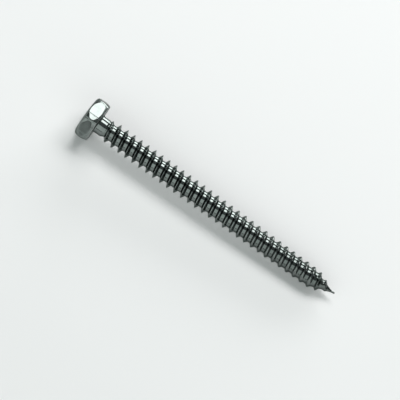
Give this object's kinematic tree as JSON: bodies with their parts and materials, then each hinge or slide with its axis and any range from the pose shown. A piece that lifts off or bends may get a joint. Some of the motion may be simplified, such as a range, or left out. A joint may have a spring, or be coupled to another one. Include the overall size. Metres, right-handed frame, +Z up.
{
  "type": "hex head self-tapping screw",
  "caption": "Zinc-plated steel tapping screw with a hexagon head, a coarse rolled thread along the whole shank and a sharp gimlet point; cuts its own thread in sheet metal, wood or plastic.",
  "frame": {"origin": "centre of the bearing face under the head", "axes": "+X along the screw towards its point, which dips about 2 degrees as the screw lies at rest; +Z up, square to the surface it lies on"},
  "size_m": [0.0573, 0.009, 0.0079],
  "materials": {
    "zinc_plated_steel": "bright zinc plating, lightly mottled"
  },
  "bodies": {
    "root": {"screw": "zinc_plated_steel"}
  },
  "joints": []
}
